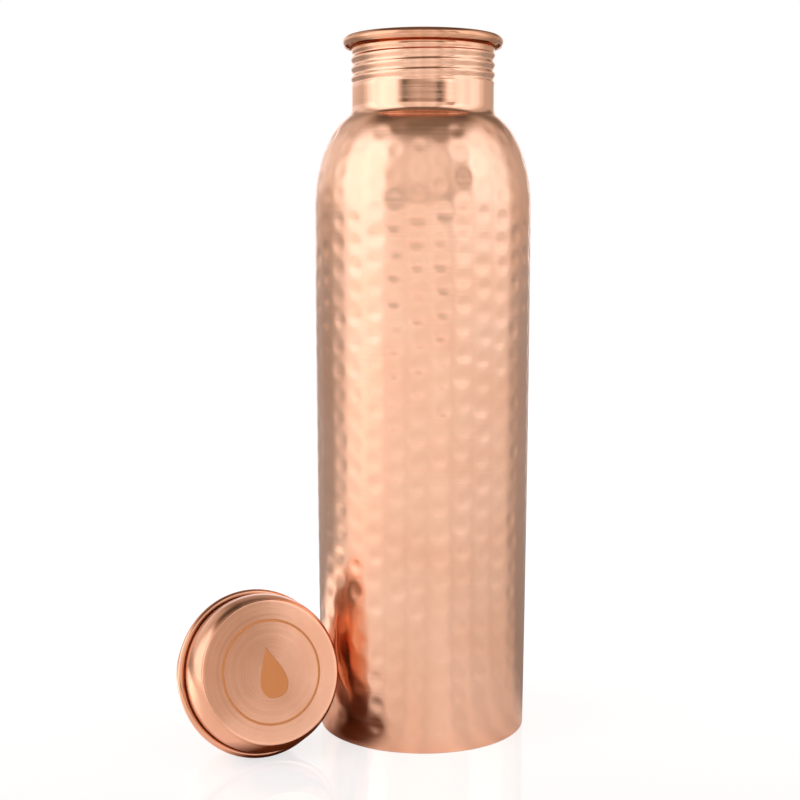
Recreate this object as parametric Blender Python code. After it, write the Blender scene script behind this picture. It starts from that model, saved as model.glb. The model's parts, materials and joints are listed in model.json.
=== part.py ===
"""Copper water bottle with its screw cap standing beside it.

Every metal piece is one drawn or spun sheet, so each is a turned skin line with a second skin one
sheet thickness inside it. The bottle stands on the origin. The cap has its own frame, whose +Z is
the cap's axis towards its face and whose origin is the centre of the cap's rim bead.
"""

from math import asin, atan2, ceil, cos, hypot, pi, radians, sin, sqrt, tau

import bmesh
import bpy
from mathutils import Matrix, Vector

SEGMENTS = 36
CLEARANCE = 0.0003

# Bottle, in metres above the surface it stands on.
SHEET = 0.0006
FOOT_RADIUS = 0.0371
WALL_LEVELS = (0.135, 0.080, 0.030, 0.0)
WAIST_RADIUS = 0.0381
WAIST_HEIGHT = 0.080
BELLY_RADIUS = 0.0383
BELLY_HEIGHT = 0.187
SHOULDER_REACH = 0.0189
SHOULDER_RISE = 0.035
SHOULDER_TURN = radians(66.5)
NECK_RADIUS = 0.0252
LIP_HEIGHT = 0.245
LIP_RADIUS = 0.0283
LIP_TUBE = 0.0020
LIP_CURL_START = radians(-50)
LIP_CURL_END = radians(215)

# Rolled thread, the same form on the neck and on the plug.
THREAD_PITCH = 0.00335
THREAD_HALF_DEPTH = 0.00032
THREAD_ROWS_PER_TURN = 4
THREAD_FADE = 0.0012
NECK_THREAD_LOW = 0.2300
NECK_THREAD_HIGH = 0.2418
NECK_THREAD_PHASE = 0.2371

# Base plate, a pressed dish inside the foot.
BASE_SHEET = 0.0008
BASE_FLANGE = 0.006
BASE_CORNER = 0.0015

# Cap drum.
CAP_SHEET = 0.0006
CAP_BEAD_RADIUS = 0.0287
CAP_BEAD_TUBE = 0.00125
CAP_BEAD_CURL = radians(280)
CAP_WALL_HEIGHT = 0.0060
CAP_SHOULDER_REACH = 0.0060
CAP_SHOULDER_RISE = 0.0083
CAP_SHOULDER_TURN = radians(53)
CAP_FACE_RADIUS = 0.0244
CAP_FACE_HEIGHT = 0.0137
CAP_FACE_CORNER = 0.0006

# Threaded plug under the cap.
PLUG_RADIUS = 0.0241
PLUG_THREAD_RADIUS = 0.0244
PLUG_DEPTH = 0.0170
PLUG_CORNER = 0.0016
PLUG_FLANGE_LEVEL = -0.0009
PLUG_THREAD_LOW = -0.0148
PLUG_THREAD_HIGH = -0.0036

# Sealing ring under the cap's flange.
GASKET_INNER = 0.0248
GASKET_OUTER = 0.0272
GASKET_THICKNESS = 0.0016

# The cap stands beside the bottle, on its bead and on the plug's end.
CAP_PLACE_X = -0.0574
CAP_PLACE_Y = -0.0336
CAP_TURN_FROM_FRONT = radians(27.5)


def arc(centre, radii, start, end, steps):
    """Points (r, z) along part of an ellipse, both ends included."""
    angles = [start + (end - start) * step / steps for step in range(steps + 1)]
    return [(centre[0] + radii[0] * cos(a), centre[1] + radii[1] * sin(a)) for a in angles]


def round_arc(centre, radius, start, end, steps):
    return arc(centre, (radius, radius), start, end, steps)


def thread_rows(radius, high, low):
    """Evenly spaced points down the stretch that carries the thread."""
    rows = ceil((high - low) / THREAD_PITCH * THREAD_ROWS_PER_TURN)
    return [(radius, high + (low - high) * row / rows) for row in range(rows + 1)]


def thread_wave(low, high, phase):
    """How far the sheet is rolled out or in by a right-hand thread at a height and an angle."""
    def wave(z, angle):
        fade = min(1.0, max(0.0, z - low) / THREAD_FADE, max(0.0, high - z) / THREAD_FADE)
        turn = (z - phase) / THREAD_PITCH - angle / tau
        return THREAD_HALF_DEPTH * fade * cos(tau * turn)
    return wave


def flat(z, angle):
    """A plain turned wall, with no thread on it."""
    return 0.0


def inner_skin(skin, thickness):
    """The line one sheet thickness to the right of the skin line, seen along its direction."""
    inner = []
    last = len(skin) - 1
    for index, (r, z) in enumerate(skin):
        before = Vector(skin[max(index - 1, 0)])
        here = Vector((r, z))
        after = Vector(skin[min(index + 1, last)])
        back = (here - before).normalized() if index else (after - here).normalized()
        ahead = (after - here).normalized() if index < last else back
        run = (back + ahead).normalized()
        normal = Vector((run.y, -run.x))
        if r == 0.0:
            normal = Vector((0.0, normal.y)).normalized()
        reach = thickness / max(0.5, run.dot(back))
        inner.append(tuple(here + normal * reach))
    return inner


def sheet_loop(skin, thickness):
    """A closed outline: down the outer skin and back up the inner one."""
    return skin + inner_skin(skin, thickness)[::-1]


def turned(name, loop, colour, roughness, wave=flat, metallic=1.0):
    """One closed solid, the outline turned about Z. Points at radius 0 are poles."""
    mesh = bmesh.new()
    rings = []
    for r, z in loop:
        if r < 1e-7:
            pole = mesh.verts.new((0.0, 0.0, z))
            rings.append([pole] * SEGMENTS)
            continue
        ring = []
        for segment in range(SEGMENTS):
            angle = tau * segment / SEGMENTS
            reach = r + wave(z, angle)
            ring.append(mesh.verts.new((reach * cos(angle), reach * sin(angle), z)))
        rings.append(ring)
    for ring, below in zip(rings, rings[1:] + rings[:1]):
        for segment in range(SEGMENTS):
            after = (segment + 1) % SEGMENTS
            corners = [ring[segment], below[segment], below[after], ring[after]]
            corners = list(dict.fromkeys(corners))
            if len(corners) > 2:
                mesh.faces.new(corners)
    bmesh.ops.triangulate(mesh, faces=mesh.faces[:])
    if mesh.calc_volume(signed=True) < 0:
        bmesh.ops.reverse_faces(mesh, faces=mesh.faces[:])
    data = bpy.data.meshes.new(name)
    mesh.to_mesh(data)
    mesh.free()
    data.shade_smooth()
    data.set_sharp_from_angle(angle=radians(40))
    data.materials.append(finish(name, colour, roughness, metallic))
    piece = bpy.data.objects.new(name, data)
    bpy.context.collection.objects.link(piece)
    return piece


def finish(name, colour, roughness, metallic):
    """A plain Principled material of the piece's own."""
    material = bpy.data.materials.new(name)
    material.use_nodes = True
    shader = material.node_tree.nodes["Principled BSDF"]
    shader.inputs["Base Color"].default_value = (*colour, 1.0)
    shader.inputs["Roughness"].default_value = roughness
    shader.inputs["Metallic"].default_value = metallic
    return material


def wall_radius(z):
    """The bottle wall's outer radius below the shoulder: a slight taper to the foot."""
    if z <= WAIST_HEIGHT:
        return FOOT_RADIUS + (WAIST_RADIUS - FOOT_RADIUS) * sqrt(z / WAIST_HEIGHT)
    share = (z - WAIST_HEIGHT) / (BELLY_HEIGHT - WAIST_HEIGHT)
    return WAIST_RADIUS + (BELLY_RADIUS - WAIST_RADIUS) * share


def bottle_skin():
    """The bottle's outer skin, from the end of the lip's curl down to the foot."""
    lip_centre = (LIP_RADIUS - LIP_TUBE, LIP_HEIGHT)
    shoulder_centre = (BELLY_RADIUS - SHOULDER_REACH, BELLY_HEIGHT)
    slope = atan2(SHOULDER_REACH * sin(SHOULDER_TURN), SHOULDER_RISE * cos(SHOULDER_TURN))
    top = arc(shoulder_centre, (SHOULDER_REACH, SHOULDER_RISE), SHOULDER_TURN, 0.0, 6)
    fillet = (top[0][0] - NECK_RADIUS) / (1.0 - cos(slope))
    fillet_centre = (NECK_RADIUS + fillet, top[0][1] + fillet * sin(slope))
    neck = round_arc(fillet_centre, fillet, pi, pi + slope, 3)
    curl = round_arc(lip_centre, LIP_TUBE - SHEET, LIP_CURL_START, LIP_CURL_END, 10)
    thread = thread_rows(NECK_RADIUS, NECK_THREAD_HIGH, NECK_THREAD_LOW)
    wall = [(wall_radius(z), z) for z in WALL_LEVELS]
    return curl + thread + neck[:-1] + top + wall


def base_skin():
    """The dish's outer skin, from its rim down and under to its centre."""
    radius = FOOT_RADIUS - SHEET - CLEARANCE
    corner = round_arc((radius - BASE_CORNER, BASE_CORNER), BASE_CORNER, 0.0, -pi / 2, 2)
    return [(radius, BASE_FLANGE)] + corner + [(0.0, 0.0)]


def cap_skin():
    """The drum's outer skin, from the centre of its face to the end of its rim's curl."""
    bead = (CAP_BEAD_RADIUS - CAP_BEAD_TUBE, 0.0)
    wall = CAP_BEAD_RADIUS - 2 * CAP_BEAD_TUBE + CAP_SHEET
    centre = (wall - CAP_SHOULDER_REACH, CAP_WALL_HEIGHT)
    shoulder = arc(centre, (CAP_SHOULDER_REACH, CAP_SHOULDER_RISE), CAP_SHOULDER_TURN, 0.0, 5)
    edge = (CAP_FACE_RADIUS - CAP_FACE_CORNER, CAP_FACE_HEIGHT - CAP_FACE_CORNER)
    corner = round_arc(edge, CAP_FACE_CORNER, pi / 2, 0.0, 2)
    curl = round_arc(bead, CAP_BEAD_TUBE - CAP_SHEET, pi, pi + CAP_BEAD_CURL, 8)
    return [(0.0, CAP_FACE_HEIGHT)] + corner + shoulder + curl


def plug_skin():
    """The plug's outer skin, from its flange down its thread and under to its centre."""
    flange = CAP_BEAD_RADIUS - 2 * CAP_BEAD_TUBE - CLEARANCE
    under = PLUG_FLANGE_LEVEL
    end = (PLUG_RADIUS - PLUG_CORNER, PLUG_CORNER - PLUG_DEPTH)
    corner = round_arc(end, PLUG_CORNER, 0.0, -pi / 2, 3)
    thread = thread_rows(PLUG_THREAD_RADIUS, PLUG_THREAD_HIGH, PLUG_THREAD_LOW)
    return [(flange, under), (PLUG_THREAD_RADIUS, under)] + thread + corner + [(0.0, -PLUG_DEPTH)]


def gasket_loop():
    """The ring's section, a flat band with eased corners."""
    top = PLUG_FLANGE_LEVEL - CLEARANCE
    low = top - GASKET_THICKNESS
    ease = GASKET_THICKNESS / 4
    inner, outer = GASKET_INNER, GASKET_OUTER
    return [
        (inner, top), (inner, low), (outer - ease, low),
        (outer, low + ease), (outer, top - ease), (outer - ease, top),
    ]


def cap_frame():
    """The cap's place: its bead and its plug's end both rest on the surface."""
    along = PLUG_DEPTH - PLUG_CORNER
    bead = CAP_BEAD_RADIUS - CAP_BEAD_TUBE
    across = bead - (PLUG_RADIUS - PLUG_CORNER)
    lean = asin((CAP_BEAD_TUBE - PLUG_CORNER) / hypot(along, across))
    tilt = atan2(across, along) + lean
    axis = Vector((
        cos(tilt) * sin(CAP_TURN_FROM_FRONT),
        -cos(tilt) * cos(CAP_TURN_FROM_FRONT),
        sin(tilt),
    ))
    side = Vector((0.0, 0.0, 1.0)).cross(axis).normalized()
    raised = axis.cross(side)
    height = bead * cos(tilt) + CAP_BEAD_TUBE + CLEARANCE
    turn = Matrix((side, raised, axis)).transposed().to_4x4()
    return Matrix.Translation((CAP_PLACE_X, CAP_PLACE_Y, height)) @ turn


def main():
    for old in list(bpy.data.objects):
        bpy.data.objects.remove(old)

    copper = (0.80, 0.45, 0.30)
    neck_thread = thread_wave(NECK_THREAD_LOW, NECK_THREAD_HIGH, NECK_THREAD_PHASE)
    turned("body_shell", sheet_loop(bottle_skin(), SHEET), copper, 0.25, neck_thread)
    turned("base_plate", sheet_loop(base_skin(), BASE_SHEET), copper, 0.30)

    cap = bpy.data.objects.new("cap_axis", None)
    bpy.context.collection.objects.link(cap)
    cap.matrix_world = cap_frame()
    plug_thread = thread_wave(PLUG_THREAD_LOW, PLUG_THREAD_HIGH, PLUG_THREAD_LOW)
    cap_pieces = [
        turned("cap_shell", sheet_loop(cap_skin(), CAP_SHEET), copper, 0.22),
        turned("cap_plug", sheet_loop(plug_skin(), CAP_SHEET), copper, 0.30, plug_thread),
        turned("cap_gasket", gasket_loop(), (0.85, 0.84, 0.82), 0.5, metallic=0.0),
    ]
    for piece in cap_pieces:
        piece.parent = cap


main()
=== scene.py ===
"""Looks of the copper water bottle: hammered body, spun cap, threads, etched emblem and finishes.

Every metal piece is turned from the line of one sheet, as in the frame, on a much finer grid, and
the body's grid is then hammered. Lengths are in metres.
"""

import json
import random
from math import atan2, cos, pi, radians, sin, tau

import bmesh
import bpy
import numpy as np
from mathutils import Matrix, Vector
from mathutils.geometry import delaunay_2d_cdt


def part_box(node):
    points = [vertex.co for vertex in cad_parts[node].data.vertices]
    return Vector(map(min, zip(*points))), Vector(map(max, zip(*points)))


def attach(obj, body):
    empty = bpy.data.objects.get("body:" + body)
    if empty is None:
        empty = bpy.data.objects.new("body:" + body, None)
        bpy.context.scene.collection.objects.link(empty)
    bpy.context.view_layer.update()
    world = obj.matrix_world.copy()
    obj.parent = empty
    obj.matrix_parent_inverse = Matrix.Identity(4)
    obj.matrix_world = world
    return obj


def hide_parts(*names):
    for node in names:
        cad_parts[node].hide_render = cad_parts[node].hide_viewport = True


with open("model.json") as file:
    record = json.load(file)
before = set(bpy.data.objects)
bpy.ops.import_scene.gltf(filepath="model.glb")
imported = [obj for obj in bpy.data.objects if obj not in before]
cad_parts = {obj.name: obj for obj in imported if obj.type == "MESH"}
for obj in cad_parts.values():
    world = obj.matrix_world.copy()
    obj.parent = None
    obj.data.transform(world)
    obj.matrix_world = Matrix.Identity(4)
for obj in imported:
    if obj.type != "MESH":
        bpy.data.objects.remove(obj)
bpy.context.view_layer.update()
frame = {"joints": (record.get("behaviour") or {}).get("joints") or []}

# The bottle's turned outline.
SHEET = 0.0006
FOOT_RADIUS = 0.0371
FOOT_EASE = 0.0004
BELLY_RADIUS = 0.0383
BELLY_HEIGHT = 0.187
SHOULDER_REACH = 0.0189
SHOULDER_RISE = 0.035
SHOULDER_TURN = radians(66.5)
NECK_RADIUS = 0.0252
LIP_HEIGHT = 0.245
LIP_RADIUS = 0.0283
LIP_TUBE = 0.0020
LIP_CURL = (radians(-50), radians(215))
BASE_SHEET = 0.0008
BASE_CORNER = 0.0015

# The rolled thread of the neck and of the plug.
THREAD_PITCH = 0.00335
THREAD_HALF_DEPTH = 0.00032
THREAD_FADE = 0.0012
THREAD_STEP = THREAD_PITCH / 10
NECK_THREAD = (0.2300, 0.2418)
NECK_THREAD_PHASE = 0.2371

# The cap, in its own frame: +Z through its face, origin at the centre of its bead.
CAP_SHEET = 0.0006
CAP_BEAD_RADIUS = 0.0287
CAP_BEAD_TUBE = 0.00125
CAP_BEAD_CURL = radians(296)
CAP_WALL_HEIGHT = 0.0060
CAP_SHOULDER_REACH = 0.0060
CAP_SHOULDER_RISE = 0.0083
CAP_SHOULDER_TURN = radians(53)
CAP_FACE_RADIUS = 0.0244
CAP_FACE_HEIGHT = 0.0137
CAP_FACE_CORNER = 0.0006
CAP_FACE_CROWN = 0.0004
CAP_FACE_CROWN_LIFT = 0.4
CAP_UNDERSIDE_RADII = (0.012, 0.006, 0.0)
CAP_HOLLOW = 0.00028
CAP_HOLLOW_HEIGHT = 0.0017
CAP_HOLLOW_REACH = 0.0011
PLUG_RADIUS = 0.0241
PLUG_THREAD_RADIUS = 0.0244
PLUG_DEPTH = 0.0170
PLUG_CORNER = 0.0016
PLUG_ROOT = 0.0004
PLUG_FLANGE_LEVEL = -0.0009
PLUG_THREAD = (-0.0148, -0.0036)
GASKET = (0.0248, 0.0272)
GASKET_THICKNESS = 0.0016
GASKET_EASE = 0.3 * GASKET_THICKNESS
FLANGE_GAP = 0.0003

# The etched emblem on the cap's face: a ring round a plain water drop.
ETCH_DEPTH = 0.00012
RING_RADIUS = 0.0173
RING_WIDTH = 0.0008
DROP_HEIGHT = 0.0175
DROP_WIDTH = 0.0112
DROP_TAPER = 1.6
DROP_FULLNESS = 1.28
EMBLEM_TILT = radians(7)
FACE_RINGS = 13
FACE_CLEARANCE = 0.0004

# Hammering: columns of round blows, each column slipped a little from its neighbour. The blows'
# middles lie between two heights, and the blows fade out over a short stretch at either end.
BODY_SEGMENTS = 256
ROW_STEP = 0.00105
BLOWS_ROUND = 31
BLOW_PITCH = 0.00845
BLOW_SLIP = 0.0042
BLOW_RADIUS = 0.0033
BLOW_DEPTH = 0.00023
BLOW_JITTER = 0.0008
BLOW_SIZES = (0.85, 1.15)
BLOW_FORCES = (0.55, 1.25)
BLOW_ROUNDING = 1.5
HAMMER_LOW = 0.003
HAMMER_HIGH = 0.2155
FADE_OUT = (0.2175, 0.2135)
FADE_IN = (0.0008, 0.0038)
SEED = 7

# Inside, every second row is kept from halfway up the shoulder, and every eighth below that.
NECK_STRIDE = 2
PLAIN_STRIDE = 8

# Segments round the smaller pieces, and the angle from which an edge is shaded sharp.
FINE_SEGMENTS = 180
SHARP_ANGLE = radians(38)

# Where the finish changes up the bottle, satin to polished, and where a painted shade darkens the
# lip's colour.
POLISH_HEIGHTS = (0.214, 0.221)
LIP_SHADE_HEIGHTS = (0.2395, 0.2430)


# ---------------------------------------------------------------- turned sheets


def arc(centre, radii, start, end, steps):
    """Points (r, z) along part of an ellipse, both ends included."""
    angles = np.linspace(start, end, steps + 1)
    return [(centre[0] + radii[0] * cos(a), centre[1] + radii[1] * sin(a)) for a in angles]


def round_arc(centre, radius, start, end, steps):
    """The same along part of a circle."""
    return arc(centre, (radius, radius), start, end, steps)


def straight(start, end, step):
    """Evenly spaced points from start to end, both included."""
    count = max(1, round(float(np.hypot(end[0] - start[0], end[1] - start[1])) / step))
    return [tuple(p) for p in np.linspace(start, end, count + 1)]


def normals(line):
    """Unit normals to the right of a line of points, seen along it."""
    points = np.array(line)
    ahead = np.diff(points, axis=0)
    ahead /= np.linalg.norm(ahead, axis=1)[:, None]
    run = np.vstack((ahead[:1], ahead[:-1] + ahead[1:], ahead[-1:]))
    run /= np.linalg.norm(run, axis=1)[:, None]
    return np.stack((run[:, 1], -run[:, 0]), axis=1)


def inner_line(line, thickness):
    """The line one sheet thickness to the right."""
    inner = np.array(line) + normals(line) * thickness
    inner[np.array(line)[:, 0] == 0.0, 0] = 0.0
    return [tuple(p) for p in inner]


def thread_wave(span, phase):
    """A right-hand thread's roll in or out, for arrays of heights and angles."""
    low, high = span

    def wave(z, angle):
        fade = np.clip(np.minimum(z - low, high - z) / THREAD_FADE, 0.0, 1.0)
        fade = fade * fade * (3.0 - 2.0 * fade)
        turn = (z - phase) / THREAD_PITCH - angle / tau
        return THREAD_HALF_DEPTH * fade * np.cos(tau * turn)

    return wave


def grid_points(loop, segments, wave):
    """Rings of points: the loop turned about Z, with the wave added to its radius."""
    loop = np.array(loop)
    angle = tau * np.arange(segments) / segments
    reach = np.repeat(loop[:, :1], segments, axis=1)
    height = np.repeat(loop[:, 1:], segments, axis=1)
    if wave:
        reach = reach + wave(height, angle[None, :])
    return np.stack((reach * np.cos(angle), reach * np.sin(angle), height), axis=2)


def solid_from_grid(name, points):
    """One closed mesh from rings of points; the last ring joins the first."""
    rows, segments = points.shape[:2]
    row = np.arange(rows)[:, None]
    column = np.arange(segments)[None, :]
    below = (row + 1) % rows
    after = (column + 1) % segments
    quads = np.stack((
        row * segments + column,
        below * segments + column,
        below * segments + after,
        row * segments + after,
    ), axis=2).reshape(-1, 4)
    mesh = bmesh.new()
    data = bpy.data.meshes.new(name)
    data.from_pydata(points.reshape(-1, 3).tolist(), [], quads.tolist())
    mesh.from_mesh(data)
    poles = [v for v in mesh.verts if abs(v.co.x) + abs(v.co.y) < 1e-8]
    bmesh.ops.remove_doubles(mesh, verts=poles, dist=1e-7)
    if mesh.calc_volume(signed=True) < 0:
        bmesh.ops.reverse_faces(mesh, faces=mesh.faces[:])
    mesh.to_mesh(data)
    mesh.free()
    return data


def add_piece(data, body, materials, replaced, place=None):
    """Links a piece, gives it its finish and lets it ride in place of the CAD node."""
    piece = bpy.data.objects.new(data.name, data)
    bpy.context.scene.collection.objects.link(piece)
    if place is not None:
        piece.matrix_world = place
    data.shade_smooth()
    data.set_sharp_from_angle(angle=SHARP_ANGLE)
    for material in materials:
        data.materials.append(material)
    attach(piece, body)
    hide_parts(replaced)
    return piece


# ---------------------------------------------------------------- bottle


def wall_radius(z):
    """The wall swells from the foot and is upright at the belly."""
    return BELLY_RADIUS - (BELLY_RADIUS - FOOT_RADIUS) * (1.0 - z / BELLY_HEIGHT) ** 2


def bottle_line():
    """The body's outer line from the lip's curled edge to the foot."""
    lip_centre = (LIP_RADIUS - LIP_TUBE, LIP_HEIGHT)
    curl = round_arc(lip_centre, LIP_TUBE - SHEET, *LIP_CURL, steps=26)
    slope = atan2(SHOULDER_REACH * sin(SHOULDER_TURN), SHOULDER_RISE * cos(SHOULDER_TURN))
    centre = (BELLY_RADIUS - SHOULDER_REACH, BELLY_HEIGHT)
    shoulder = arc(centre, (SHOULDER_REACH, SHOULDER_RISE), SHOULDER_TURN, 0.0, steps=34)
    top = shoulder[0]
    fillet = (top[0] - NECK_RADIUS) / (1.0 - cos(slope))
    fillet_centre = (NECK_RADIUS + fillet, top[1] + fillet * sin(slope))
    neck = round_arc(fillet_centre, fillet, pi, pi + slope, steps=12)
    low, high = NECK_THREAD
    thread = straight((NECK_RADIUS, high), (NECK_RADIUS, low), step=THREAD_STEP)
    plain = straight(thread[-1], neck[0], step=0.0012)[1:-1]
    heights = np.arange(BELLY_HEIGHT - ROW_STEP, FOOT_EASE * 2, -ROW_STEP)
    wall = [(wall_radius(z), z) for z in heights]
    foot_centre = (FOOT_RADIUS - FOOT_EASE, FOOT_EASE)
    foot = round_arc(foot_centre, FOOT_EASE, 0.0, -pi / 3, steps=3)
    return curl + thread + plain + neck[:-1] + shoulder + wall + foot


def press(depth, path, reach, angle, along, column, rng):
    """One round blow into the map of depths."""
    size = BLOW_RADIUS * rng.uniform(*BLOW_SIZES)
    force = BLOW_DEPTH * rng.uniform(*BLOW_FORCES)
    rows = np.nonzero(np.abs(path - along) < size)[0]
    radius = reach[rows].mean()
    turn = tau * column / BLOWS_ROUND + rng.uniform(-1, 1) * BLOW_JITTER / radius
    off = (angle - turn + pi) % tau - pi
    # Wider than the blow, because the radius is only its rows' mean.
    columns = np.nonzero(np.abs(off) * radius < size * 1.1)[0]
    across = off[columns][None, :] * reach[rows][:, None]
    away = (path[rows] - along)[:, None]
    share = np.clip(1.0 - (across ** 2 + away ** 2) / size ** 2, 0.0, 1.0)
    patch = depth[np.ix_(rows, columns)]
    depth[np.ix_(rows, columns)] = np.maximum(patch, force * share ** BLOW_ROUNDING)


def ramp(values, zero, one):
    """0 at the first value and 1 at the second, and level beyond them."""
    return np.clip((values - zero) / (one - zero), 0.0, 1.0)


def hammer(points, outer, line):
    """Presses staggered, slightly irregular round blows into the outer skin's grid."""
    rng = random.Random(SEED)
    heights = points[:outer, 0, 2]
    reach = np.array(line)[:, 0]
    depth = np.zeros(points.shape[:2])
    angle = tau * np.arange(BODY_SEGMENTS) / BODY_SEGMENTS
    path = np.concatenate(([0.0], np.cumsum(np.hypot(*np.diff(np.array(line), axis=0).T))))
    inside = (heights > HAMMER_LOW) & (heights < HAMMER_HIGH)
    start, stop = path[inside].min(), path[inside].max()
    slip = 0.0
    for column in range(BLOWS_ROUND):
        slip = (slip + rng.uniform(-1, 1) * BLOW_SLIP) % BLOW_PITCH
        along = start + slip
        while along < stop:
            press(depth, path[:outer], reach, angle, along, column, rng)
            along += BLOW_PITCH + rng.uniform(-1, 1) * BLOW_JITTER
    fade = ramp(heights, *FADE_OUT) * ramp(heights, *FADE_IN)
    push = depth[:outer] * fade[:, None]
    inward = normals(line)
    points[:outer, :, 0] += push * inward[:, :1] * np.cos(angle)
    points[:outer, :, 1] += push * inward[:, :1] * np.sin(angle)
    points[:outer, :, 2] += push * inward[:, 1:]


def inner_body_line(line):
    """The inside of the body, coarser where it is plain."""
    inner = inner_line(line, SHEET)
    kept = []
    for index, (r, z) in enumerate(inner):
        stride = NECK_STRIDE if z > BELLY_HEIGHT + SHOULDER_RISE / 2 else PLAIN_STRIDE
        if index % stride == 0 or index == len(inner) - 1:
            kept.append((r, z))
    return kept


def make_body(materials):
    """The drawn and hammered sheet, with its threaded neck and curled lip."""
    line = bottle_line()
    loop = line + inner_body_line(line)[::-1]
    points = grid_points(loop, BODY_SEGMENTS, thread_wave(NECK_THREAD, NECK_THREAD_PHASE))
    hammer(points, len(line), line)
    data = solid_from_grid("hammered_body", points)
    return add_piece(data, "bottle", materials, "body_shell")


def make_base(materials):
    """The pressed dish that closes the foot."""
    _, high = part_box("base_plate")
    radius = high.x
    edge = radius - BASE_CORNER
    line = straight((radius, high.z), (radius, BASE_CORNER), step=0.0015)
    line += round_arc((edge, BASE_CORNER), BASE_CORNER, 0.0, -pi / 2, steps=6)[1:]
    line += straight((edge, 0.0), (0.0, 0.0), step=0.004)[1:]
    loop = line + inner_line(line, BASE_SHEET)[::-1]
    data = solid_from_grid("pressed_base", grid_points(loop, FINE_SEGMENTS, None))
    return add_piece(data, "bottle", materials, "base_plate")


# ---------------------------------------------------------------- cap


def cap_place():
    """The cap's own frame, from the axis it turns on."""
    turn = next(j for j in frame["joints"] if j["name"] == "cap_turn")
    axis = Vector(turn["axis"]).normalized()
    side = Vector((0.0, 0.0, 1.0)).cross(axis).normalized()
    raised = axis.cross(side)
    spin = Matrix((side, raised, axis)).transposed().to_4x4()
    return Matrix.Translation(turn["pos_m"]) @ spin


def crown(r):
    """The face is spun with a very slight dome."""
    return CAP_FACE_HEIGHT + CAP_FACE_CROWN * (CAP_FACE_CROWN_LIFT - (r / CAP_FACE_RADIUS) ** 2)


def hollow(wall, z):
    """The drum's side draws in a little just above its bead."""
    return wall - CAP_HOLLOW * float(np.exp(-((z - CAP_HOLLOW_HEIGHT) / CAP_HOLLOW_REACH) ** 2))


def cap_line():
    """The drum's outer line, from the ring's inner edge to the end of the bead's curl."""
    inner, outer = RING_RADIUS - RING_WIDTH / 2, RING_RADIUS + RING_WIDTH / 2
    flank = ETCH_DEPTH / 2
    ring = [
        (inner, crown(inner)),
        (inner + flank, crown(inner) - ETCH_DEPTH),
        (outer - flank, crown(outer) - ETCH_DEPTH),
        (outer, crown(outer)),
    ]
    edge = CAP_FACE_RADIUS - CAP_FACE_CORNER
    face = [(r, crown(r)) for r in np.linspace(outer, edge, 9)[1:-1]]
    corner_centre = (edge, crown(edge) - CAP_FACE_CORNER)
    corner = round_arc(corner_centre, CAP_FACE_CORNER, pi / 2, 0.0, steps=6)
    wall = CAP_BEAD_RADIUS - 2 * CAP_BEAD_TUBE + CAP_SHEET
    centre = (wall - CAP_SHOULDER_REACH, CAP_WALL_HEIGHT)
    radii = (CAP_SHOULDER_REACH, CAP_SHOULDER_RISE)
    shoulder = arc(centre, radii, CAP_SHOULDER_TURN, 0.0, steps=22)
    bead = (CAP_BEAD_RADIUS - CAP_BEAD_TUBE, 0.0)
    curl = round_arc(bead, CAP_BEAD_TUBE - CAP_SHEET, pi, pi + CAP_BEAD_CURL, steps=24)
    side = [(hollow(wall, z), z) for z in np.linspace(shoulder[-1][1], 0.0, 13)[1:-1]]
    return ring + face + corner + shoulder + side + curl


def drop_outline(count=72):
    """A water drop: round below, drawn to a soft point above."""
    points = []
    for step in range(count):
        t = tau * step / count
        across = DROP_WIDTH / 2 * sin(t) * sin(t / 2) ** DROP_TAPER * DROP_FULLNESS
        up = DROP_HEIGHT / 2 * cos(t)
        turned = Vector((across, up))
        turned.rotate(Matrix.Rotation(EMBLEM_TILT, 2))
        points.append(turned)
    return points


def in_outline(point, outline):
    """Whether a 2-D point is inside a closed outline."""
    inside = False
    for a, b in zip(outline, outline[1:] + outline[:1]):
        if (a.y > point.y) != (b.y > point.y):
            cross = a.x + (point.y - a.y) * (b.x - a.x) / (b.y - a.y)
            inside ^= point.x < cross
    return inside


def face_disc(mesh, rim):
    """Fills the face inside the ring, with the drop sunk into it. The rim's points are kept."""
    outline = drop_outline()
    spots = [Vector(v.co.xy) for v in rim] + outline
    edges = [(i, (i + 1) % len(rim)) for i in range(len(rim))]
    first = len(rim)
    edges += [(first + i, first + (i + 1) % len(outline)) for i in range(len(outline))]
    reach = RING_RADIUS - RING_WIDTH
    for ring in range(1, FACE_RINGS):
        radius = reach * ring / FACE_RINGS
        for step in range(6 * ring):
            turn = tau * step / (6 * ring)
            spot = Vector((radius * cos(turn), radius * sin(turn)))
            if min((spot - p).length for p in outline) > FACE_CLEARANCE:
                spots.append(spot)
    flat, _, triangles, origin, _, _ = delaunay_2d_cdt(spots, edges, [], 1, 1e-7)
    high, low = {}, {}
    for index, spot in enumerate(flat):
        sources = origin[index]
        if sources and sources[0] < len(rim):
            high[index] = rim[sources[0]]

    def vertex(index, sunk):
        known = low if sunk else high
        if index not in known:
            spot = flat[index]
            level = crown(spot.length) - (ETCH_DEPTH if sunk else 0.0)
            known[index] = mesh.verts.new((spot.x, spot.y, level))
        return known[index]

    for triangle in triangles:
        middle = sum((flat[i] for i in triangle), Vector((0.0, 0.0))) / 3
        sunk = in_outline(middle, outline)
        face = mesh.faces.new([vertex(i, sunk) for i in triangle])
        face.material_index = 1 if sunk else 0
    border = [i for i in low if i in high]
    where = {origin[i][0]: i for i in border if origin[i]}
    for step in range(len(outline)):
        a = where[first + step]
        b = where[first + (step + 1) % len(outline)]
        face = mesh.faces.new((high[a], high[b], low[b], low[a]))
        face.material_index = 1


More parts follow.
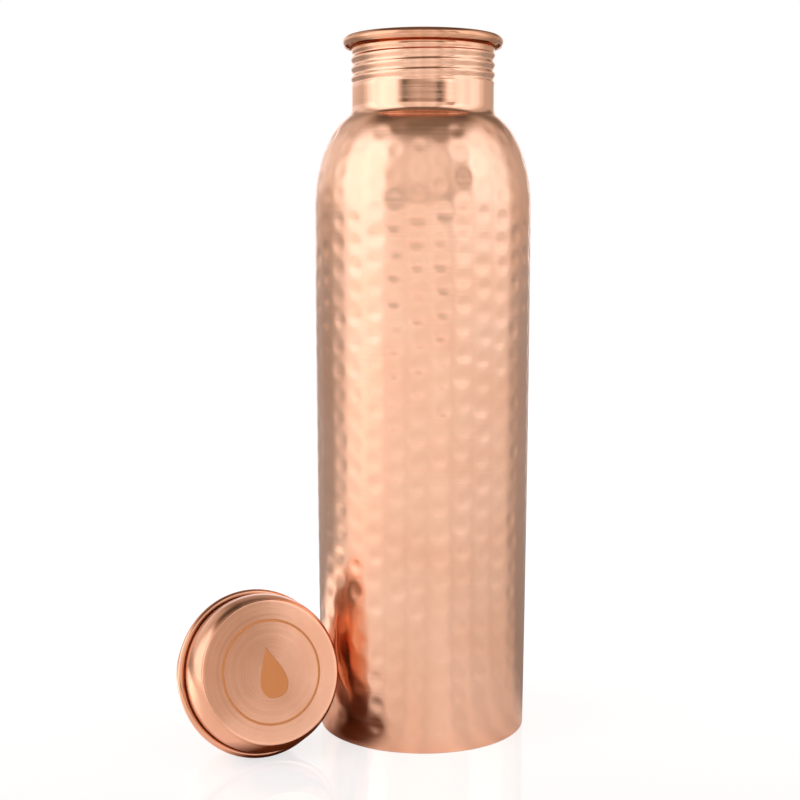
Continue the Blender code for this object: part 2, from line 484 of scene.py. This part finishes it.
def make_cap_shell(materials, place):
    """The spun drum, with its etched face and the curled bead round its open end."""
    line = cap_line()
    # The underside is plain, so it leaves out the ring's four points.
    under = inner_line(line[4:], CAP_SHEET)[::-1]
    under += [(r, under[-1][1]) for r in CAP_UNDERSIDE_RADII]
    loop = np.array(line + under)
    rows = len(loop)
    points = grid_points(loop, FINE_SEGMENTS, None)
    mesh = bmesh.new()
    rings = [[mesh.verts.new(p) for p in ring] for ring in points]
    for row in range(rows - 1):
        for column in range(FINE_SEGMENTS):
            after = (column + 1) % FINE_SEGMENTS
            a, b = rings[row], rings[row + 1]
            face = mesh.faces.new((a[column], b[column], b[after], a[after]))
            # The first three rows of faces are the etched ring's flanks and floor.
            face.material_index = 1 if row < 3 else 0
    bmesh.ops.remove_doubles(mesh, verts=rings[-1], dist=1e-7)
    face_disc(mesh, rings[0])
    bmesh.ops.recalc_face_normals(mesh, faces=mesh.faces[:])
    if mesh.calc_volume(signed=True) < 0:
        bmesh.ops.reverse_faces(mesh, faces=mesh.faces[:])
    data = bpy.data.meshes.new("cap_drum")
    mesh.to_mesh(data)
    mesh.free()
    return add_piece(data, "cap", materials, "cap_shell", place)


def make_plug(materials, place):
    """The threaded cup under the drum, with the flange that joins them."""
    flange = CAP_BEAD_RADIUS - 2 * CAP_BEAD_TUBE - FLANGE_GAP
    under = PLUG_FLANGE_LEVEL
    low, high = PLUG_THREAD
    radius = PLUG_THREAD_RADIUS
    root = (radius + PLUG_ROOT, under - PLUG_ROOT)
    line = straight((flange, under), (root[0], under), step=0.0006)
    line += round_arc(root, PLUG_ROOT, pi / 2, pi, steps=4)[1:]
    line += straight((radius, under - 2 * PLUG_ROOT), (radius, high), step=0.001)[:-1]
    line += straight((radius, high), (radius, low), step=THREAD_STEP)
    end = (PLUG_RADIUS - PLUG_CORNER, PLUG_CORNER - PLUG_DEPTH)
    line += round_arc(end, PLUG_CORNER, 0.0, -pi / 2, steps=8)
    line += straight(line[-1], (0.0, -PLUG_DEPTH), step=0.003)[1:]
    loop = line + inner_line(line, CAP_SHEET)[::-1]
    points = grid_points(loop, FINE_SEGMENTS, thread_wave(PLUG_THREAD, low))
    data = solid_from_grid("threaded_plug", points)
    return add_piece(data, "cap", materials, "cap_plug", place)


def make_gasket(materials, place):
    """The seal between the cap's flange and the bottle's lip."""
    top = PLUG_FLANGE_LEVEL - FLANGE_GAP
    low = top - GASKET_THICKNESS
    inner, outer = GASKET
    ease = GASKET_EASE
    loop = round_arc((outer - ease, top - ease), ease, pi / 2, 0.0, steps=5)
    loop += round_arc((outer - ease, low + ease), ease, 0.0, -pi / 2, steps=5)
    loop += round_arc((inner + ease, low + ease), ease, -pi / 2, -pi, steps=5)
    loop += round_arc((inner + ease, top - ease), ease, pi, pi / 2, steps=5)
    data = solid_from_grid("silicone_ring", grid_points(loop, FINE_SEGMENTS, None))
    return add_piece(data, "seal", materials, "cap_gasket", place)


# ---------------------------------------------------------------- finishes


def product(tree, first, second):
    """One colour times another."""
    node = tree.nodes.new("ShaderNodeVectorMath")
    node.operation = "MULTIPLY"
    tree.links.new(first, node.inputs[0])
    tree.links.new(second, node.inputs[1])
    return node.outputs[0]


class Finish:
    """A Principled material with helpers for its procedural detail."""

    def __init__(self, name):
        self.material = bpy.data.materials.new(name)
        self.material.use_nodes = True
        self.tree = self.material.node_tree
        self.nodes, self.links = self.tree.nodes, self.tree.links
        self.shader = self.nodes["Principled BSDF"]
        self.place = self.nodes.new("ShaderNodeTexCoord").outputs["Object"]

    def set(self, **values):
        """Constants on the shader's own sockets."""
        for name, value in values.items():
            self.shader.inputs[name.replace("_", " ")].default_value = value

    def stretched(self, scale):
        """The piece's coordinates, scaled by direction so that noise on them is drawn out."""
        mapping = self.nodes.new("ShaderNodeMapping")
        mapping.inputs["Scale"].default_value = scale
        self.links.new(self.place, mapping.inputs["Vector"])
        return mapping.outputs["Vector"]

    def noise(self, scale, detail=3.0, rough=0.55, vector=None):
        node = self.nodes.new("ShaderNodeTexNoise")
        node.inputs["Scale"].default_value = scale
        node.inputs["Detail"].default_value = detail
        node.inputs["Roughness"].default_value = rough
        self.links.new(vector or self.place, node.inputs["Vector"])
        return node.outputs["Fac"]

    def polar(self):
        """Distance from Z and height, so that noise on it runs in turned rings."""
        split = self.nodes.new("ShaderNodeSeparateXYZ")
        self.links.new(self.place, split.inputs[0])
        flat = self.nodes.new("ShaderNodeCombineXYZ")
        self.links.new(split.outputs["X"], flat.inputs["X"])
        self.links.new(split.outputs["Y"], flat.inputs["Y"])
        length = self.nodes.new("ShaderNodeVectorMath")
        length.operation = "LENGTH"
        self.links.new(flat.outputs[0], length.inputs[0])
        rings = self.nodes.new("ShaderNodeCombineXYZ")
        self.links.new(length.outputs["Value"], rings.inputs["X"])
        self.links.new(split.outputs["Z"], rings.inputs["Y"])
        return rings.outputs[0]

    def remap(self, value, low, high, source=(0.3, 0.7)):
        node = self.nodes.new("ShaderNodeMapRange")
        node.inputs["From Min"].default_value = source[0]
        node.inputs["From Max"].default_value = source[1]
        node.inputs["To Min"].default_value = low
        node.inputs["To Max"].default_value = high
        self.links.new(value, node.inputs["Value"])
        return node.outputs["Result"]

    def colours(self, value, first, second, source=(0.35, 0.65)):
        ramp = self.nodes.new("ShaderNodeValToRGB")
        ramp.color_ramp.elements[0].position = source[0]
        ramp.color_ramp.elements[1].position = source[1]
        ramp.color_ramp.elements[0].color = (*first, 1.0)
        ramp.color_ramp.elements[1].color = (*second, 1.0)
        self.links.new(value, ramp.inputs["Fac"])
        return ramp.outputs["Color"]

    def bump(self, height, distance, strength=1.0, under=None):
        node = self.nodes.new("ShaderNodeBump")
        node.inputs["Distance"].default_value = distance
        node.inputs["Strength"].default_value = strength
        self.links.new(height, node.inputs["Height"])
        if under:
            self.links.new(under, node.inputs["Normal"])
        return node.outputs["Normal"]

    def height(self, low, high):
        """0 below the first height and 1 above the second."""
        split = self.nodes.new("ShaderNodeSeparateXYZ")
        self.links.new(self.place, split.inputs[0])
        return self.remap(split.outputs["Z"], 0.0, 1.0, (low, high))

    def blend(self, share, first, second):
        """A number between two others."""
        node = self.nodes.new("ShaderNodeMix")
        self.links.new(share, node.inputs["Factor"])
        self.links.new(first, node.inputs["A"])
        self.links.new(second, node.inputs["B"])
        return node.outputs["Result"]

    def near(self, spot, close, far):
        """1 within the first distance of a spot, 0 beyond the second."""
        away = self.nodes.new("ShaderNodeVectorMath")
        away.operation = "DISTANCE"
        away.inputs[1].default_value = spot
        self.links.new(self.place, away.inputs[0])
        return self.remap(away.outputs["Value"], 1.0, 0.0, (close, far))

    def turned(self):
        """The direction the lathe's marks run in, round the piece's own Z."""
        node = self.nodes.new("ShaderNodeTangent")
        node.direction_type = "RADIAL"
        node.axis = "Z"
        return node.outputs["Tangent"]

    def link(self, **outputs):
        """What varies over the surface, by the shader's socket."""
        for name, output in outputs.items():
            self.links.new(output, self.shader.inputs[name.replace("_", " ")])


def hammered_copper():
    """Brushed copper: satin on the hammered wall, brighter on the neck, with a painted shade
    browning the lip.
    """
    finish = Finish("hammered_copper")
    finish.set(Metallic=1.0, Anisotropic=0.35, Anisotropic_Rotation=0.25)
    patches = finish.noise(38.0, 4.0)
    streaks = finish.noise(14.0, 5.0, 0.6, finish.stretched((1.0, 1.0, 110.0)))
    satin = finish.remap(streaks, 0.19, 0.27)
    bright = finish.remap(streaks, 0.08, 0.14)
    metal = finish.colours(patches, (0.925, 0.530, 0.355), (0.960, 0.585, 0.415))
    # Painted shade: the lip's colour is darkened to brown.
    lip_shade_mask = finish.height(*LIP_SHADE_HEIGHTS)
    brown = finish.colours(lip_shade_mask, (1.0, 1.0, 1.0), (0.80, 0.70, 0.62), (0.0, 1.0))
    finish.link(
        Base_Color=product(finish.tree, metal, brown),
        Roughness=finish.blend(finish.height(*POLISH_HEIGHTS), satin, bright),
        Normal=finish.bump(streaks, 0.00003, 0.5, finish.bump(patches, 0.00012, 0.5)),
        Tangent=finish.turned(),
    )
    return finish.material


def spun_copper():
    """Fine rings from the lathe, which draw the light out into spokes on the cap's face."""
    finish = Finish("spun_copper")
    finish.set(Metallic=1.0, Anisotropic=0.7, Anisotropic_Rotation=0.25)
    rings = finish.noise(2600.0, 3.0, 0.6, finish.polar())
    patches = finish.noise(60.0, 4.0)
    finish.link(
        Base_Color=finish.colours(patches, (0.820, 0.420, 0.265), (0.870, 0.475, 0.315)),
        Roughness=finish.remap(rings, 0.13, 0.22),
        Normal=finish.bump(rings, 0.00001, 0.4, finish.bump(patches, 0.00010, 0.5)),
        Tangent=finish.turned(),
    )
    return finish.material


def etched_copper():
    """Dull brown where the face was etched."""
    finish = Finish("etched_copper")
    finish.set(Metallic=1.0)
    grain = finish.noise(5200.0, 2.0)
    finish.link(
        Base_Color=finish.colours(grain, (0.600, 0.235, 0.085), (0.700, 0.300, 0.120)),
        Roughness=finish.remap(grain, 0.45, 0.62),
        Normal=finish.bump(grain, 0.00003, 0.6),
    )
    return finish.material


def plain_copper():
    """Turned copper without a polish."""
    finish = Finish("plain_copper")
    finish.set(Metallic=1.0, Anisotropic=0.5, Anisotropic_Rotation=0.25)
    rings = finish.noise(1500.0, 3.0, 0.6, finish.polar())
    patches = finish.noise(45.0, 4.0)
    finish.link(
        Base_Color=finish.colours(patches, (0.870, 0.520, 0.370), (0.920, 0.580, 0.430)),
        Roughness=finish.remap(rings, 0.26, 0.42),
        Normal=finish.bump(rings, 0.00002, 0.5),
        Tangent=finish.turned(),
    )
    return finish.material


def silicone():
    """Milky soft rubber with a fine grain."""
    finish = Finish("silicone")
    finish.set(Subsurface_Weight=0.25, Subsurface_Scale=0.002)
    grain = finish.noise(900.0, 3.0)
    finish.link(
        Base_Color=finish.colours(grain, (0.80, 0.78, 0.74), (0.86, 0.85, 0.82)),
        Roughness=finish.remap(grain, 0.42, 0.58),
        Normal=finish.bump(grain, 0.00002, 0.4),
    )
    return finish.material


# ---------------------------------------------------------------- studio


class Bands:
    """Bands of brightness by direction round Z, for the studio's walls and its table."""

    def __init__(self, tree, vector):
        self.nodes, self.links = tree.nodes, tree.links
        split = self.nodes.new("ShaderNodeSeparateXYZ")
        self.links.new(vector, split.inputs[0])
        self.rise = split.outputs["Z"]
        toward = self.math("MULTIPLY", split.outputs["Y"], -1.0)
        azimuth = self.math("ARCTAN2", split.outputs["X"], toward)
        self.share = self.math("MULTIPLY_ADD", azimuth, 1.0 / tau, 0.5)

    def math(self, operation, *values):
        """One operation on sockets and plain numbers."""
        node = self.nodes.new("ShaderNodeMath")
        node.operation = operation
        for slot, value in enumerate(values):
            if isinstance(value, (int, float)):
                node.inputs[slot].default_value = value
            else:
                self.links.new(value, node.inputs[slot])
        return node.outputs[0]

    def ramp(self, value, stops):
        """Levels at rising positions from 0 to 1, eased between."""
        node = self.nodes.new("ShaderNodeValToRGB")
        node.color_ramp.interpolation = "EASE"
        elements = node.color_ramp.elements
        for position, _ in stops[1:-1]:
            elements.new(position)
        for element, (position, level) in zip(elements, stops):
            element.position = position
            element.color = (level, level, level, 1.0)
        self.links.new(value, node.inputs["Fac"])
        return node.outputs["Color"]

    def around(self, stops):
        """Levels by degrees round the bottle, 0 towards the camera and 90 to the right."""
        return self.ramp(self.share, [(degrees / 360.0 + 0.5, level) for degrees, level in stops])

    def add(self, kind, value=None, **inputs):
        """A shader node with its colour linked and its constants set by name."""
        node = self.nodes.new(kind)
        for name, constant in inputs.items():
            node.inputs[name].default_value = constant
        if value is not None:
            self.links.new(value, node.inputs["Color"])
        return node.outputs[0]

    def mix(self, share, first, second):
        """Two shaders, the second by the share."""
        node = self.nodes.new("ShaderNodeMixShader")
        if isinstance(share, float):
            node.inputs[0].default_value = share
        else:
            self.links.new(share, node.inputs[0])
        self.links.new(first, node.inputs[1])
        self.links.new(second, node.inputs[2])
        return node.outputs[0]

    def seen(self):
        """1 for what the picture shows directly, 0 for what lights and mirrors."""
        return self.nodes.new("ShaderNodeLightPath").outputs["Is Camera Ray"]


# The studio's brightness round the bottle, by degrees from the camera's side.
STUDIO = [
    (-180, 0.48), (-166, 0.48), (-150, 0.26), (-114, 0.22), (-104, 0.29), (-95, 0.41),
    (-84, 0.59), (-68, 0.68), (-48, 0.62), (-38, 0.54), (-29, 0.60), (-18, 0.52), (-8, 0.60),
    (0, 0.52), (8, 0.56), (18, 0.61), (29, 0.49), (40, 0.57), (51, 0.47), (62, 0.54),
    (74, 0.47), (85, 0.53), (95, 0.49), (106, 0.36), (118, 0.25), (150, 0.22), (166, 0.48),
    (180, 0.48),
]

# What is dimmer or brighter at some heights: degrees round, rise of the direction, how much.
PATCHES = (
    ("haze", [(-180, 0), (-50, 0), (-32, 1), (42, 1), (60, 0), (180, 0)],
     [(0, 1), (0.04, 1), (0.11, 0), (1, 0)], 0.22),
    ("gap", [(-180, 0), (-47, 0), (-30, 1), (-17, 0.75), (15, 0.75), (25, 1), (45, 0), (180, 0)],
     [(0, 0), (0.04, 0), (0.06, 1), (0.14, 1), (0.20, 0.42), (0.8, 0.42), (1, 0)], -0.94),
    ("seam", [(-180, 0), (32, 0), (42, 1), (50, 1), (54, 0), (180, 0)],
     [(0, 0), (0.11, 0), (0.19, 1), (0.46, 1), (0.6, 0), (1, 0)], -0.58),
    ("left", [(-180, 0), (-165, 0), (-145, 1), (-95, 1), (-80, 0), (180, 0)],
     [(0, 0), (0.05, 0), (0.15, 1), (0.45, 1), (0.62, 0.3), (1, 0)], 0.55),
    ("right", [(-180, 0), (51, 0), (55, 1), (72, 1), (84, 0), (180, 0)],
     [(0, 0), (0.27, 0), (0.36, 1), (0.6, 1), (0.7, 0), (1, 0)], 0.18),
    ("back", [(-180, 1), (-160, 1), (-125, 0), (125, 0), (145, 1), (180, 1)],
     [(0, 0), (0.26, 0), (0.42, 1), (0.8, 1), (0.9, 0), (1, 0)], -0.62),
    ("roof", [(-180, 1), (180, 1)], [(0, 0), (0.70, 0), (0.88, 1), (1, 1)], -0.84),
)

STUDIO_LIGHT = 2.5

# The studio's colour by brightness: dim parts are warm, bright ones almost neutral.
TONES = ((0.10, (1.0, 0.80, 0.64)), (0.50, (0.99, 1.0, 1.04)))

# The table as the picture shows it: white, with a faint mirror image.
TABLE_SIZE = 12.0
TABLE_GLOW = 0.87
TABLE_MIRROR = 0.20
TABLE_GLOSS = 0.05
TABLE_PALES = ((0.33, 0.33, 0.33), (0.35, 0.35, 0.35))

# The table as the metal sees it, with painted light and shade: a painted shade near the bottle,
# a painted light spot left of the cap and a painted warm shadow between the cap and the bottle.
# Each spot has its place, its core and its edge.
TABLE_REACH = (0.2, 0.8)
TABLE_FAR = 2.4
TABLE_NEAR_SHADE = -0.5
LIGHT_SPOT_PLACE = (-0.165, 0.035, 0.0)
LIGHT_SPOT_REACH = (0.055, 0.11)
LIGHT_SPOT_LEVEL = 1.7
SHADOW_PLACE = (-0.0445, -0.0365, 0.0)
SHADOW_REACH = (0.017, 0.029)
SHADOW_COLOUR = (0.15, 0.050, 0.016)

CAMERA_PLACE = (-0.0081, -0.5115, 0.1793)
CAMERA_DIP = radians(6.75)
CAMERA_LENS = 64.1

# Each soft box: its name, place, size and power in watts. Both point at the same spot.
SOFT_BOXES = (
    ("softbox_left", (-0.95, -0.55, 0.55), (0.5, 0.9), 1.5),
    ("softbox_top", (0.0, -0.2, 1.3), (1.2, 1.2), 2.0),
)
SOFT_BOX_AIM = Vector((0.0, 0.0, 0.12))


def make_floor():
    """A white table that throws back a faint mirror image, and lights the metal from below with
    painted light and shade.
    """
    bpy.ops.mesh.primitive_plane_add(size=TABLE_SIZE, location=(0.0, 0.0, 0.0))
    floor = bpy.context.object
    floor.name = "studio_floor"
    finish = Finish("studio_floor")
    bands = Bands(finish.tree, finish.place)
    grain = finish.noise(3.0, 2.0)
    pale = finish.colours(grain, *TABLE_PALES)
    glow = bands.add("ShaderNodeEmission", Strength=TABLE_GLOW)
    both = finish.nodes.new("ShaderNodeAddShader")
    finish.links.new(glow, both.inputs[0])
    finish.links.new(bands.add("ShaderNodeBsdfDiffuse", pale), both.inputs[1])
    mirror = bands.add("ShaderNodeBsdfGlossy", Roughness=TABLE_GLOSS)
    shown = bands.mix(TABLE_MIRROR, both.outputs[0], mirror)
    # Painted light: a bright spot on the table left of the cap, where there is no lamp.
    painted_light_spot = bands.math("MULTIPLY", finish.near(LIGHT_SPOT_PLACE, *LIGHT_SPOT_REACH), LIGHT_SPOT_LEVEL)
    # Painted shade: the table is darker near the bottle.
    middle = finish.near((0.0, 0.0, 0.0), *TABLE_REACH)
    level = bands.math("MULTIPLY_ADD", middle, TABLE_NEAR_SHADE, TABLE_FAR)
    # Painted light: the colour the metal sees is brightened and darkened by direction round the
    # bottle.
    sheet = bands.math("MULTIPLY_ADD", bands.around(STUDIO), level, painted_light_spot)
    # Painted shadow: a warm dark patch between the cap and the bottle.
    shadow = finish.near(SHADOW_PLACE, *SHADOW_REACH)
    tint = finish.colours(shadow, (1.0, 1.0, 1.0), SHADOW_COLOUR, (0.0, 1.0))
    lit = bands.add("ShaderNodeBsdfDiffuse", product(finish.tree, sheet, tint))
    out = bands.mix(bands.seen(), lit, shown)
    finish.links.new(out, finish.nodes["Material Output"].inputs["Surface"])
    floor.data.materials.append(finish.material)


def make_world():
    """White to look at; the metal sees a brighter left, darker sides and a dim gap in front."""
    world = bpy.data.worlds.new("studio")
    bpy.context.scene.world = world
    world.use_nodes = True
    nodes, links = world.node_tree.nodes, world.node_tree.links
    nodes.clear()
    bands = Bands(world.node_tree, nodes.new("ShaderNodeTexCoord").outputs["Generated"])
    level = bands.around(STUDIO)
    for _, turn, heights, amount in PATCHES:
        patch = bands.math("MULTIPLY", bands.around(turn), bands.ramp(bands.rise, heights))
        level = bands.math("MULTIPLY", level, bands.math("MULTIPLY_ADD", patch, amount, 1.0))
    tone = nodes.new("ShaderNodeValToRGB")
    for element, (position, colour) in zip(tone.color_ramp.elements, TONES):
        element.position = position
        element.color = (*colour, 1.0)
    links.new(level, tone.inputs["Fac"])
    tinted = product(world.node_tree, level, tone.outputs["Color"])
    light = bands.add("ShaderNodeBackground", tinted, Strength=STUDIO_LIGHT)
    white = bands.add("ShaderNodeBackground", Color=(1.0, 1.0, 1.0, 1.0))
    out = nodes.new("ShaderNodeOutputWorld")
    links.new(bands.mix(bands.seen(), light, white), out.inputs["Surface"])


def make_lights():
    """A soft box on the left and one overhead."""
    for name, place, size, power in SOFT_BOXES:
        data = bpy.data.lights.new(name, "AREA")
        data.shape = "RECTANGLE"
        data.size, data.size_y = size
        data.energy = power
        lamp = bpy.data.objects.new(name, data)
        bpy.context.scene.collection.objects.link(lamp)
        lamp.location = place
        lamp.visible_glossy = False
        aim = SOFT_BOX_AIM - lamp.location
        lamp.rotation_euler = aim.to_track_quat("-Z", "Y").to_euler()


def make_camera():
    """The camera stands in front, a little above the middle, and looks slightly down."""
    data = bpy.data.cameras.new("camera")
    data.sensor_width = 36.0
    data.lens = CAMERA_LENS
    data.clip_start = 0.01
    camera = bpy.data.objects.new("camera", data)
    bpy.context.scene.collection.objects.link(camera)
    camera.location = CAMERA_PLACE
    camera.rotation_euler = (pi / 2 - CAMERA_DIP, 0.0, 0.0)
    bpy.context.scene.camera = camera


def main():
    bpy.context.scene.view_settings.view_transform = "Standard"
    make_camera()
    make_world()
    make_lights()
    make_floor()
    place = cap_place()
    plain = plain_copper()
    make_body([hammered_copper()])
    make_base([plain])
    make_cap_shell([spun_copper(), etched_copper()], place)
    make_plug([plain], place)
    make_gasket([silicone()], place)


main()
